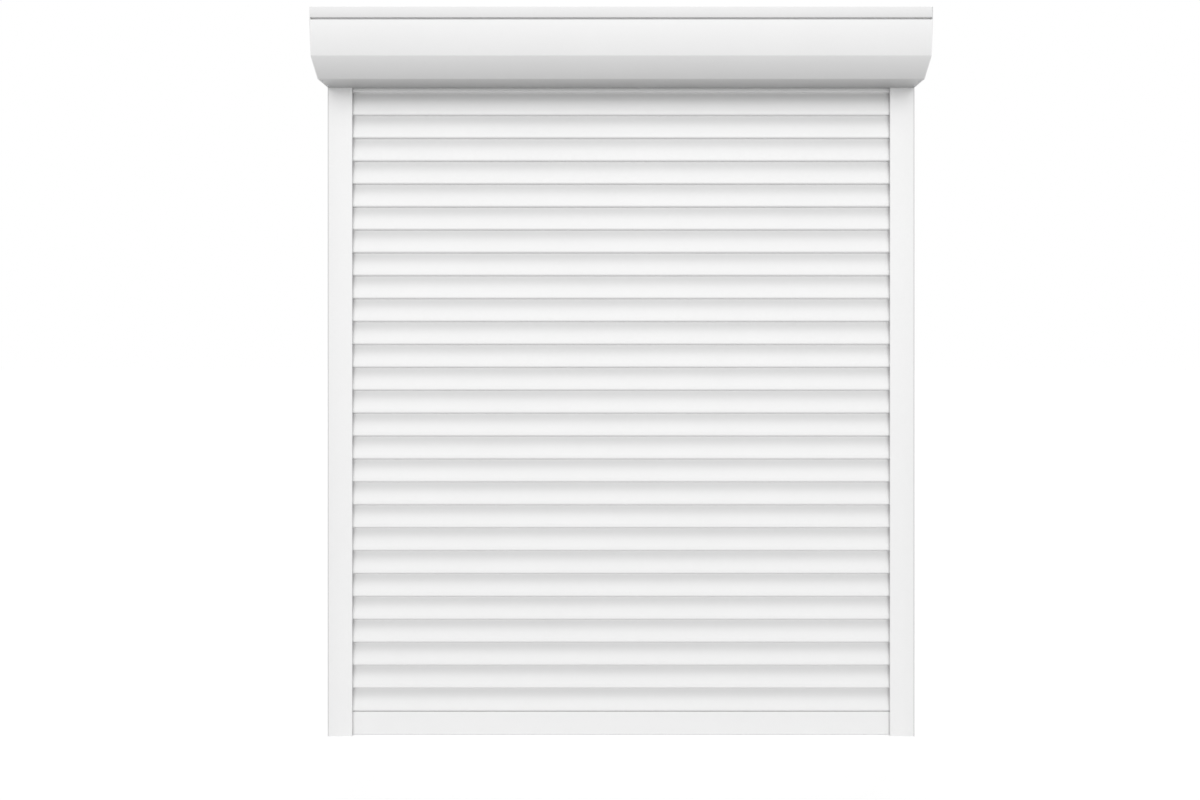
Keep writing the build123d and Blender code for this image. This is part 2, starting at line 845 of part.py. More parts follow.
with BuildPart() as motor_tube:
    with BuildSketch(Plane.YZ.offset(motor_start)) as motor_section:
        with Locations((axis_y, axis_z)):
            Circle(motor_radius)
    extrude(amount=motor_length)
    with BuildSketch(Plane.YZ.offset(motor_start + motor_end_wall)) as motor_inside:
        with Locations((axis_y, axis_z)):
            Circle(motor_radius - motor_wall)
    extrude(amount=motor_length - motor_end_wall, mode=Mode.SUBTRACT)
    with BuildSketch(Plane.YZ.offset(motor_start)) as shaft_way:
        with Locations((axis_y, axis_z)):
            Circle(motor_shaft_radius + fit_clearance)
    extrude(amount=motor_end_wall, mode=Mode.SUBTRACT)
save(motor_tube.part, "motor_tube")

with BuildPart() as motor_head:
    with BuildSketch(Plane.YZ.offset(head_start)) as head_section:
        with Locations((axis_y, axis_z)):
            Circle(motor_head_radius)
    extrude(amount=motor_head_length)
    with BuildSketch(Plane.YZ.offset(head_start)) as stub_section:
        with Locations((axis_y, axis_z)):
            Rectangle(motor_stub, motor_stub)
    extrude(amount=stub_end - head_start)
    with BuildSketch(Plane.XY.offset(axis_z - motor_stub)) as pin_way:
        with Locations((motor_pin_x, axis_y)):
            Circle(motor_pin_radius + fit_clearance)
    extrude(amount=2 * motor_stub, mode=Mode.SUBTRACT)
    chamfer(motor_head.edges().filter_by(GeomType.CIRCLE).sort_by(Axis.X)[0], length=pin_chamfer)
save(motor_head.part, "motor_head")

with BuildPart() as motor_bracket:
    with BuildSketch(Plane.YZ.offset(bracket_inside)) as motor_plate:
        bracket_plate()
        with Locations((axis_y, axis_z)):
            Rectangle(
                motor_stub + 2 * motor_stub_clearance,
                motor_stub + 2 * motor_stub_clearance,
                mode=Mode.SUBTRACT,
            )
    extrude(amount=bracket_wall)
save(motor_bracket.part, "motor_bracket")

with BuildPart() as motor_pin:
    with BuildSketch(Plane.XY.offset(axis_z - motor_pin_length / 2)) as motor_pin_section:
        with Locations((motor_pin_x, axis_y)):
            Circle(motor_pin_radius)
    extrude(amount=motor_pin_length)
save(motor_pin.part, "motor_pin")

with BuildPart() as motor_crown:
    with BuildSketch(Plane.YZ.offset(tube_right)) as crown_section:
        octagon(inner_flats)
        fillet(crown_section.vertices(), radius=tube_bend)
        with Locations((axis_y, axis_z)):
            Circle(motor_radius + capsule_clearance, mode=Mode.SUBTRACT)
    extrude(amount=-crown_length)
save(motor_crown.part, "motor_crown")

wheel_end = motor_start - running_gap

with BuildPart() as drive_wheel:
    with BuildSketch(Plane.YZ.offset(wheel_end)) as wheel_section:
        octagon(inner_flats)
        fillet(wheel_section.vertices(), radius=tube_bend)
        with Locations((axis_y, axis_z)):
            Circle(motor_shaft_radius + fit_clearance, mode=Mode.SUBTRACT)
            with PolarLocations(inner_flats * wheel_hole_place_share, wheel_holes):
                Circle(inner_flats * wheel_hole_share, mode=Mode.SUBTRACT)
    extrude(amount=-wheel_length)

with BuildPart() as motor_shaft:
    with BuildSketch(Plane.YZ.offset(wheel_end - wheel_length)) as shaft_section:
        with Locations((axis_y, axis_z)):
            Circle(motor_shaft_radius)
    extrude(amount=wheel_length + running_gap + motor_shaft_length)
save(Compound([drive_wheel.part.solid(), motor_shaft.part.solid()]), "motor_drive_wheel")


# Screws that hold the brackets and the two panels
with BuildPart() as screw_blank:
    with BuildSketch() as screw_shank:
        Circle(screw_radius)
    extrude(amount=screw_length)
    with BuildSketch() as screw_head:
        Circle(screw_head_radius)
    extrude(amount=-screw_head_height)
    fillet(screw_blank.faces().sort_by(Axis.Z)[0].edges(), radius=screw_head_height / 2)

screw_planes = []
for side in (-1, 1):
    bracket_x = side * (panel_end - boss_height - bracket_wall)
    for place_y, place_z in boss_places:
        screw_planes.append(Plane((bracket_x, place_y, place_z), z_dir=(side, 0, 0)))
    for place_y in underside_screws:
        screw_planes.append(Plane((side * screw_x, place_y, guide_height), z_dir=(0, 0, 1)))
    for place_y in top_screws:
        screw_planes.append(Plane((side * screw_x, place_y, box_top), z_dir=(0, 0, -1)))

screws = [screw_blank.part.solid().moved(plane.location) for plane in screw_planes]
save(Compound(screws), "fixing_screws")
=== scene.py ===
"""Exterior roller shutter with a motor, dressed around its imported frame.

X runs along the box, Y points to the wall and Z is up. Sizes are in millimetres, and meshes in metres.
"""

import json
import logging
import math
import random
from dataclasses import dataclass
from enum import Enum

import bmesh
import bpy
from mathutils import Matrix, Vector

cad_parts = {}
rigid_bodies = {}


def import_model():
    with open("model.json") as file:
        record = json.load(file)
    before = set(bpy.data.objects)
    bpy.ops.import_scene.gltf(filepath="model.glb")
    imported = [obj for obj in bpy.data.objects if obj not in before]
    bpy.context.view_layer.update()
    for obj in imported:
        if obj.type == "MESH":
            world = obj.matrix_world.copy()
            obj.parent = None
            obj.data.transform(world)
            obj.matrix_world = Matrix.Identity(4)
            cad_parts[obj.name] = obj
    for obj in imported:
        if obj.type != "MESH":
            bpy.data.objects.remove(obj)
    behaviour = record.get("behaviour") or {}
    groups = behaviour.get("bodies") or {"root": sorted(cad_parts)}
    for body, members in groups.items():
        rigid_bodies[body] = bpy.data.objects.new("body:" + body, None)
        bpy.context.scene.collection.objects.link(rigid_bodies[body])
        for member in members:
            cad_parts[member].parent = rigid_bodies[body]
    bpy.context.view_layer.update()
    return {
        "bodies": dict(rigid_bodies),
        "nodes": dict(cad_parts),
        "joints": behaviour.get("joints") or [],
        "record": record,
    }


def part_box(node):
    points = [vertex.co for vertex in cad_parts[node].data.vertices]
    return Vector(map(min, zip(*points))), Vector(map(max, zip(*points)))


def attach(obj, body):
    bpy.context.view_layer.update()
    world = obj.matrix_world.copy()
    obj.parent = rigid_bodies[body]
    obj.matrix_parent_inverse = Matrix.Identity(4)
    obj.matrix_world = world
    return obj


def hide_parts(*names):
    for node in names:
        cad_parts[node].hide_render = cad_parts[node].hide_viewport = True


MM = 0.001  # metres in a millimetre
MERGE = 0.001  # millimetres within which two points are one
FLAT_ANGLE = 1.0  # degrees within which two faces are one
SLAT_PITCH = 74.5  # millimetres from one slat's lip to the next
LOWEST_LIP = 76.0  # millimetres from the sill to the lowest slat's lip
LOG = logging.getLogger("roller_shutter")
Shape = bmesh.types.BMesh
Tree = bpy.types.NodeTree
Socket = bpy.types.NodeSocket


# Colour and node helpers
def linear(hex_colour: str) -> tuple[float, float, float, float]:
    """Turns an sRGB hex colour into the linear colour that a shader takes, by the standard's own curve.

    Args:
        hex_colour: Six hex digits, such as "F2F2F2".

    Returns:
        Red, green, blue and an alpha of one.
    """
    parts = [int(hex_colour[at:at + 2], 16) / 255 for at in (0, 2, 4)]
    red, green, blue = (
        part / 12.92 if part <= 0.04045 else ((part + 0.055) / 1.055) ** 2.4 for part in parts
    )
    return red, green, blue, 1.0


def add_node(
    tree: Tree, kind: str, settings: dict | None = None, links: dict | None = None
) -> bpy.types.Node:
    """Adds a node with its settings and links.

    Args:
        tree: The node tree that takes it.
        kind: The node's type, without the words ShaderNode.
        settings: Values by the name of a property or of an input socket, or by an input's number.
        links: Output sockets by the name or number of the input that each feeds.

    Returns:
        The new node.
    """
    node = tree.nodes.new("ShaderNode" + kind)
    for name, value in (settings or {}).items():
        if isinstance(name, str) and hasattr(node, name):
            setattr(node, name, value)
        else:
            node.inputs[name].default_value = value
    for name, output in (links or {}).items():
        tree.links.new(output, node.inputs[name])
    return node


def new_material(name: str) -> tuple[bpy.types.Material, Tree]:
    """Starts a material with an empty node tree.

    Args:
        name: The material's name.

    Returns:
        The material and its tree.
    """
    material = bpy.data.materials.new(name)
    material.use_nodes = True
    material.node_tree.nodes.clear()
    return material, material.node_tree


WHITE = linear("FFFFFF")


def per_metre(size_mm: float) -> float:
    """Gives the texture scale at which one cell of a pattern is this many millimetres across."""
    return 1 / (size_mm * MM)


def seen_directly(tree: Tree) -> Socket:
    """Adds the nodes that tell rays from the camera, a gloss or a glass from light on the object.

    Args:
        tree: The node tree that takes them.

    Returns:
        An output that is one for such rays and zero for the rest.
    """
    paths = add_node(tree, "LightPath")
    seen = paths.outputs["Is Camera Ray"]
    for kind in ("Is Glossy Ray", "Is Transmission Ray"):
        most = add_node(tree, "Math", {"operation": "MAXIMUM"}, {0: seen, 1: paths.outputs[kind]})
        seen = most.outputs[0]
    return seen


# Finishes
@dataclass(frozen=True)
class Finish:
    """What every finish has: two tones that a slow pattern mixes, and a sheen over a fine grain."""

    name: str
    colour: str = "F6F6F6"
    shade: str = "F3F3F3"
    roughness: float = 0.38
    grain_size: float = 1.6
    grain_depth: float = 0.006
    grain_strength: float = 0.35
    grain_detail: float = 1
    cloud_size: float = 260
    cloud_detail: float = 3
    roughness_spread: float = 0.05
    metal: float = 0
    ior: float = 1.5

    def build(self) -> bpy.types.Material:
        """Builds the material.

        Returns:
            The material.
        """
        material, tree = new_material(self.name)
        here = add_node(tree, "TexCoord").outputs["Object"]
        cloud, grain, sheen = self.patterns(tree, here)
        bump = add_node(
            tree, "Bump", {"Strength": self.grain_strength, "Distance": self.grain_depth * MM},
            {"Height": grain},
        )
        settings = {"IOR": self.ior, "Metallic": self.metal}
        links = {"Base Color": self.tone(tree, here, cloud), "Normal": bump.outputs["Normal"]}
        if self.roughness_spread:
            gloss = add_node(
                tree, "MapRange",
                {
                    "To Min": self.roughness - self.roughness_spread,
                    "To Max": self.roughness + self.roughness_spread,
                },
                {"Value": sheen},
            )
            links["Roughness"] = gloss.outputs["Result"]
        else:
            settings["Roughness"] = self.roughness
        shader = add_node(tree, "BsdfPrincipled", settings, links)
        add_node(tree, "OutputMaterial", {}, {"Surface": shader.outputs["BSDF"]})
        return material

    def patterns(self, tree: Tree, here: Socket) -> tuple[Socket, ...]:
        """Adds the nodes of the finish's patterns.

        Args:
            tree: The material's node tree.
            here: The output that holds the place on the object.

        Returns:
            The outputs that shift the tone, raise the grain and vary the sheen.
        """
        sizes = (self.cloud_size, self.cloud_detail), (self.grain_size, self.grain_detail)
        cloud, grain = (
            add_node(tree, "TexNoise", {"Scale": per_metre(size), "Detail": detail}, {"Vector": here})
            for size, detail in sizes
        )
        return cloud.outputs["Fac"], grain.outputs["Fac"], cloud.outputs["Fac"]

    def tone(self, tree: Tree, here: Socket, cloud: Socket) -> Socket:
        """Adds the nodes of the finish's colour.

        Args:
            tree: The material's node tree.
            here: The output that holds the place on the object; not used here.
            cloud: The output that shifts the tone.

        Returns:
            The output that holds the colour.
        """
        mixed = add_node(
            tree, "Mix", {"data_type": "RGBA", 6: linear(self.colour), 7: linear(self.shade)}, {0: cloud},
        )
        return mixed.outputs[2]


class WhiteCoat(Finish):
    """White coat on aluminium: a bright neutral film with a soft sheen and a barely waved surface."""


@dataclass(frozen=True)
class ShadePaintedCoat(WhiteCoat):
    """White coat with painted shade: greys laid into its colour where shade falls.

    The white is painted a soft grey under each lip, under the box and along edges, standing in for shade
    there.
    The stops give that grey along a direction, once in every pitch, and alike on both sides where it is
    mirrored. It lies on what faces outdoors, in front of one plane and below another.
    """

    base: float = 0.0
    pitch: float = 100.0
    front: float = 0.0
    ceiling: float = 5000.0
    direction: tuple[float, float, float] = (0.0, 0.0, 1.0)
    mirrored: bool = False
    stops: tuple[tuple[float, str], ...] = ((0.0, "FFFFFF"), (1.0, "E0E0E0"))

    def tone(self, tree: Tree, here: Socket, cloud: Socket) -> Socket:
        """Multiplies the coat's white by the painted shade of the place.

        Args:
            tree: The material's node tree.
            here: The output that holds the place on the object.
            cloud: The output that shifts the tone.

        Returns:
            The output that holds the colour.
        """
        white = super().tone(tree, here, cloud)
        axes = add_node(tree, "SeparateXYZ", {}, {0: here})
        along = add_node(tree, "VectorMath", {"operation": "DOT_PRODUCT", 1: self.direction}, {0: here})
        share = along.outputs["Value"]
        steps = [("SUBTRACT", self.base * MM), ("DIVIDE", self.pitch * MM), ("FRACT", 0)]
        if self.mirrored:
            steps.insert(0, ("ABSOLUTE", 0))
        for operation, value in steps:
            share = add_node(tree, "Math", {"operation": operation, 1: value}, {0: share}).outputs[0]
        ramp = add_node(tree, "ValToRGB", {}, {"Fac": share})
        points = ramp.color_ramp.elements
        while len(points) < len(self.stops):
            points.new(0.5)
        for point, (where, shade) in zip(points, self.stops):
            point.position = where
            point.color = linear(shade)
        in_front, below = (
            add_node(tree, "Math", {"operation": "LESS_THAN", 1: edge * MM}, {0: axes.outputs[axis]})
            for axis, edge in (("Y", self.front), ("Z", self.ceiling))
        )
        outdoors = add_node(
            tree, "Math", {"operation": "MULTIPLY"}, {0: in_front.outputs[0], 1: below.outputs[0]},
        )
        # Painted shade: the ramp's greys darken the white wherever the mask holds, standing in for shade
        painted_shade = add_node(
            tree, "Mix", {"data_type": "RGBA", "blend_type": "MULTIPLY"},
            {0: outdoors.outputs[0], 6: white, 7: ramp.outputs["Color"]},
        )
        return painted_shade.outputs[2]


@dataclass(frozen=True)
class Moulded(Finish):
    """Moulded plastic or extruded rubber: one deep colour under a fine even grain from the tool."""

    roughness: float = 0.5
    grain_size: float = 0.9
    grain_depth: float = 0.02
    grain_strength: float = 0.5
    grain_detail: float = 3
    cloud_size: float = 40
    cloud_detail: float = 2
    roughness_spread: float = 0


@dataclass(frozen=True)
class BareSteel(Finish):
    """Bare steel under a thin metal skin: a grey that shifts from crystal to crystal, finely drawn."""

    grain_size: float = 0.5
    grain_depth: float = 0.01
    grain_strength: float = 0.3
    grain_detail: float = 2
    grain_stretch: float = 80
    cloud_size: float = 9
    roughness_spread: float = 0.08
    metal: float = 1

    def patterns(self, tree: Tree, here: Socket) -> tuple[Socket, ...]:
        """Adds the nodes of the crystals and of the drawn lines.

        Args:
            tree: The material's node tree.
            here: The output that holds the place on the object.

        Returns:
            The outputs that shift the tone, raise the grain and vary the sheen.
        """
        crystals = add_node(
            tree, "TexVoronoi", {"Scale": per_metre(self.cloud_size)}, {"Vector": here},
        )
        across = per_metre(self.grain_size)
        lines = add_node(
            tree, "Mapping", {"Scale": (across / self.grain_stretch, across, across)}, {"Vector": here},
        )
        drawing = add_node(
            tree, "TexNoise", {"Scale": 1.0, "Detail": self.grain_detail},
            {"Vector": lines.outputs["Vector"]},
        )
        return crystals.outputs["Color"], drawing.outputs["Fac"], drawing.outputs["Fac"]


# The finish of each of the record's slots, and of the guides' covers, which have their own
FINISHES = {
    # Enamel rolled on before the slat is bent: white, with painted shade darkening each slat's upper part
    # under the lip above and its own lip's underside
    "slat_coating": ShadePaintedCoat(
        "roll_coated_slat_enamel", "F8F8F8", "F5F5F5", base=LOWEST_LIP, pitch=SLAT_PITCH, front=-13,
        stops=(
            (0.0, "E8E8E8"), (0.05, "F2F2F2"), (0.1, "FCFCFC"), (0.3, "FAFAFA"), (0.45, "F7F7F7"),
            (0.58, "F0F0F0"), (0.72, "E4E4E4"), (0.86, "DBDBDB"), (0.93, "DCDCDC"), (1.0, "EEEEEE"),
        ),
    ),
    "profile_coating": WhiteCoat("powder_coated_profile", "F3F3F3", "F0F0F0"),
    # The snapped-on cover of each guide: white, with painted shade in a grey line along its outer edge
    "guide_cover": ShadePaintedCoat(
        "powder_coated_cover", base=871, pitch=80, front=-30, direction=(1.0, 0.0, 0.0), mirrored=True,
        stops=(
            (0.0, "FDFDFD"), (0.5, "FCFCFC"), (0.925, "FAFAFA"), (0.955, "DEDEDE"), (1.0, "D0D0D0"),
        ),
    ),
    # Sheet coated on its coil: white, with painted shade that greys the face and lip towards their foot,
    # the groove under the lip, the bevel and most of all the underside
    "panel_coating": ShadePaintedCoat(
        "coil_coated_panel", base=2110, pitch=300, front=-2, ceiling=2299, direction=(0.0, -0.5, 1.0),
        stops=(
            (0.0, "A7A7A7"), (0.18, "D4D4D4"), (0.19, "E1E1E1"), (0.46, "FAFAFA"), (0.475, "F0F0F0"),
            (0.65, "F7F7F7"), (0.84, "FFFFFF"), (0.865, "E6E6E6"), (0.92, "F0F0F0"), (0.975, "F7F7F7"),
        ),
    ),
    "cap_coating": WhiteCoat(
        "powder_coated_die_casting", "EFEFEF", "ECECEC", grain_size=1.1, grain_depth=0.012,
    ),
    "seal_rubber": Moulded("extruded_epdm_rubber", "1E1E1F", "242425", 0.62),
    "brush_pile": Moulded("polypropylene_brush_pile", "B9BABB", "A9AAAC", 0.7),
    "white_plastic": Moulded("moulded_white_polyamide", "E6E6E4", "DEDEDC", 0.45),
    "black_plastic": Moulded("moulded_black_polyamide", "202122", "292A2B", 0.45),
    "galvanised_steel": BareSteel("hot_dip_galvanised_steel", "A6AAAE", "C9CCCF"),
    "bright_steel": BareSteel("zinc_plated_steel", "B2B5B8", "C4C6C8", 0.28, cloud_size=3),
    "spring_steel": BareSteel("blued_spring_steel", "474E59", "5C6470", 0.3, cloud_size=5),
    "motor_housing": Moulded("painted_motor_tube", "5E6164", "56595C", 0.35, 2.0),
}


def dress(piece: bpy.types.Object, material: bpy.types.Material) -> None:
    """Gives a piece one finish on all its faces."""
    piece.data.materials.clear()
    piece.data.materials.append(material)


# Mesh helpers
@dataclass(frozen=True)
class Corner:
    """One corner of a section seen from the end, in millimetres, with the radius of its bend."""

    y: float
    z: float
    radius: float = 0.0


def outline(*points: tuple[float, ...]) -> list[Corner]:
    """Makes the corners of a section from the Y, the Z and the radius of each."""
    return [Corner(*point) for point in points]


class Side(Enum):
    """The side of the shutter, seen from the front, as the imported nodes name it."""

    LEFT = "left"
    RIGHT = "right"


def new_verts(made: dict) -> list[bmesh.types.BMVert]:
    """Gives the vertices among what an extrusion made."""
    return [item for item in made["geom"] if isinstance(item, bmesh.types.BMVert)]


def soften(shape: Shape, edges: list[bmesh.types.BMEdge], radius: float, segments: int) -> None:
    """Rounds edges of a shape.

    Args:
        shape: The bmesh that holds them.
        edges: The edges to round.
        radius: How far each rounding reaches into its faces.
        segments: Steps in each rounding.
    """
    bmesh.ops.bevel(
        shape, geom=edges, offset=radius, offset_type="OFFSET", affect="EDGES",
        segments=segments, profile=0.5, material=-1, clamp_overlap=True,
    )


def add_block(shape: Shape, low: Vector, high: Vector) -> list[bmesh.types.BMEdge]:
    """Adds a block to a shape.

    Args:
        shape: The bmesh that takes it.
        low: The block's lowest corner.
        high: Its highest corner.

    Returns:
        The block's edges.
    """
    verts = bmesh.ops.create_cube(shape, size=1)["verts"]
    bmesh.ops.scale(shape, vec=high - low, verts=verts)
    bmesh.ops.translate(shape, vec=(low + high) / 2, verts=verts)
    return list(dict.fromkeys(edge for vert in verts for edge in vert.link_edges))


def solid_section(corners: list[Corner], low_x: float, high_x: float, segments: int = 5) -> Shape:
    """Extrudes a closed section along X, with its corners rounded.

    Args:
        corners: The section's corners in order.
        low_x: Where it starts.
        high_x: Where it ends.
        segments: Steps in each rounded corner.

    Returns:
        The closed solid.
    """
    shape = bmesh.new()
    points = [shape.verts.new((low_x, corner.y, corner.z)) for corner in corners]
    shape.faces.new(points)
    neighbours = zip(corners[-1:] + corners, corners[1:] + corners[:1])
    for point, corner, (before, after) in zip(points, corners, neighbours):
        if corner.radius > 0:
            round_corner(shape, point, corner, before, after, segments)
    moved = new_verts(bmesh.ops.extrude_face_region(shape, geom=shape.faces[:]))
    bmesh.ops.translate(shape, vec=(high_x - low_x, 0, 0), verts=moved)
    return shape


def round_corner(
    shape: Shape, point: bmesh.types.BMVert, corner: Corner, before: Corner, after: Corner,
    segments: int,
) -> None:
    """Rounds one corner of a flat section.

    Args:
        shape: The bmesh that holds the section.
        point: The corner's vertex.
        corner: The corner's place and radius.
        before: The corner before it.
        after: The corner after it.
        segments: Steps in the arc.
    """
    here = Vector((corner.y, corner.z))
    one = (Vector((before.y, before.z)) - here).normalized()
    other = (Vector((after.y, after.z)) - here).normalized()
    opening = one.angle(other)
    offset = corner.radius / math.tan(opening / 2)
    bmesh.ops.bevel(
        shape, geom=[point], offset=offset, offset_type="OFFSET", affect="VERTICES",
        segments=segments, profile=0.5, material=-1, clamp_overlap=True,
    )


def bent_sheet(
    corners: list[Corner], low_x: float, high_x: float, wall: float, segments: int = 6
) -> Shape:
    """Makes a sheet bent along X from the corners of its outer face.

    Args:
        corners: The outer face's corners in order, with the wall to their left seen from the right.
        low_x: Where it starts.
        high_x: Where it ends.
        wall: The sheet's thickness.
        segments: Steps in each bend.

    Returns:
        The sheet as a closed solid.
    """
    shape = bmesh.new()
    points = [shape.verts.new((low_x, corner.y, corner.z)) for corner in corners]
    chain = [shape.edges.new(pair) for pair in zip(points, points[1:])]
    moved = new_verts(bmesh.ops.extrude_edge_only(shape, edges=chain))
    bmesh.ops.translate(shape, vec=(high_x - low_x, 0, 0), verts=moved)
    for point, corner in zip(points, corners):
        if corner.radius > 0:
            fold = next(edge for edge in point.link_edges if len(edge.link_faces) == 2)
            soften(shape, [fold], corner.radius, segments)
    bmesh.ops.recalc_face_normals(shape, faces=shape.faces)
    bmesh.ops.solidify(shape, geom=shape.faces[:], thickness=wall)
    return shape


def copied(node: bpy.types.Object) -> Shape:
    """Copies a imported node's mesh, with its triangles joined into whole faces, in millimetres.

    Args:
        node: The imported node, which is left as it is.

    Returns:
        The copy.
    """
    shape = bmesh.new()
    shape.from_mesh(node.data)
    bmesh.ops.scale(shape, vec=(1 / MM, 1 / MM, 1 / MM), verts=shape.verts)
    bmesh.ops.remove_doubles(shape, verts=shape.verts, dist=MERGE)
    bmesh.ops.dissolve_limit(
        shape, angle_limit=math.radians(FLAT_ANGLE), use_dissolve_boundaries=False,
        verts=shape.verts, edges=shape.edges,
    )
    return shape


def loose_parts(shape: Shape) -> list[list[Vector]]:
    """Splits a mesh into its loose parts.

    Args:
        shape: The mesh.

    Returns:
        The places of each part's vertices.
    """
    met = set()
    parts = []
    for start in shape.verts:
        if start in met:
            continue
        met.add(start)
        front, part = [start], []
        while front:
            vert = front.pop()
            part.append(vert.co.copy())
            for edge in vert.link_edges:
                other = edge.other_vert(vert)
                if other not in met:
                    met.add(other)
                    front.append(other)
        parts.append(part)
    return parts


def spun(profile: list[tuple[float, float]], steps: int, closed: bool) -> Shape:
    """Spins a profile round the Z axis.

    Args:
        profile: Radius and height of each point.
        steps: Sides of the full turn.
        closed: Whether the last point joins the first, as on a ring.

    Returns:
        The turned shell.
    """
    shape = bmesh.new()
    points = [shape.verts.new((radius, 0, height)) for radius, height in profile]
    pairs = list(zip(points, points[1:]))
    if closed:
        pairs.append((points[-1], points[0]))
    edges = [shape.edges.new(pair) for pair in pairs]
    bmesh.ops.spin(
        shape, geom=points + edges, cent=(0, 0, 0), axis=(0, 0, 1), dvec=(0, 0, 0),
        angle=math.tau, steps=steps, use_merge=True,
    )
    bmesh.ops.remove_doubles(shape, verts=shape.verts, dist=MERGE)
    return shape


@dataclass(frozen=True)
class Span:
    """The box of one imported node, in millimetres."""

    low: Vector
    high: Vector

    @classmethod
    def of(cls, node: str) -> "Span":
        """Reads a node's box from the frame."""
        low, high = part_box(node)
        return cls(Vector(low) / MM, Vector(high) / MM)


@dataclass
class Assembly:
    """What every sub-assembly has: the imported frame, the materials, and the body that carries it."""

    frame: dict
    materials: dict[str, bpy.types.Material]
    body: str = "frame"
    smooth_angle: float = 35

    def show(self, shape: Shape, name: str, slot: str, node: str = "", body: str = "") -> bpy.types.Object:
        """Makes a shown piece from a shape in millimetres, dresses it and lets it ride on a body.

        Args:
            shape: The shape, which is freed. Its edges flatter than the smooth angle are shaded smooth.
            name: The piece's name.
            slot: The record's slot for its finish.
            node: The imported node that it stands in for, if any.
            body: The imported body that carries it, if not the sub-assembly's own.

        Returns:
            The new object, at the origin, with its place in its mesh.
        """
        bmesh.ops.scale(shape, vec=(MM, MM, MM), verts=shape.verts)
        bmesh.ops.recalc_face_normals(shape, faces=shape.faces)
        mesh = bpy.data.meshes.new(name)
        shape.to_mesh(mesh)
        shape.free()
        mesh.shade_smooth()
        mesh.set_sharp_from_angle(angle=math.radians(self.smooth_angle))
        piece = bpy.data.objects.new(name, mesh)
        bpy.context.scene.collection.objects.link(piece)
        even = piece.modifiers.new("even_normals", "WEIGHTED_NORMAL")
        even.keep_sharp = True
        dress(piece, self.materials[slot])
        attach(piece, body or self.body)
        if node:
            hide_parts(node)
        return piece


# The curtain
@dataclass(frozen=True)
class Hook:
    """The open hook that hangs a slat, or the bottom bar, on the slat above."""

    wall: float = 1.0
    neck: float = -13.7
    front: float = -19.1
    height: float = 5.4
    tip: float = 3
    root_bend: float = 0.2
    outer_bend: float = 1.8
    inner_bend: float = 0.8
    tip_bend: float = 0.4

    def points(self, base: float) -> list[tuple[float, float, float]]:
        """Gives the hook's outline.

        Args:
            base: The height of the edge that it stands on.

        Returns:
            The Y, the Z and the radius of each corner, from its back to its front.
        """
        half = self.wall / 2
        back, inner_back = self.neck + half, self.neck - half
        front, inner_front = self.front - half, self.front + half
        head, tip = base + self.height, base + self.tip
        return [
            (back, base, self.root_bend),
            (back, head, self.outer_bend),
            (front, head, self.outer_bend),
            (front, tip, self.tip_bend),
            (inner_front, tip, self.tip_bend),
            (inner_front, head - self.wall, self.inner_bend),
            (inner_back, head - self.wall, self.inner_bend),
            (inner_back, base, self.root_bend),
        ]


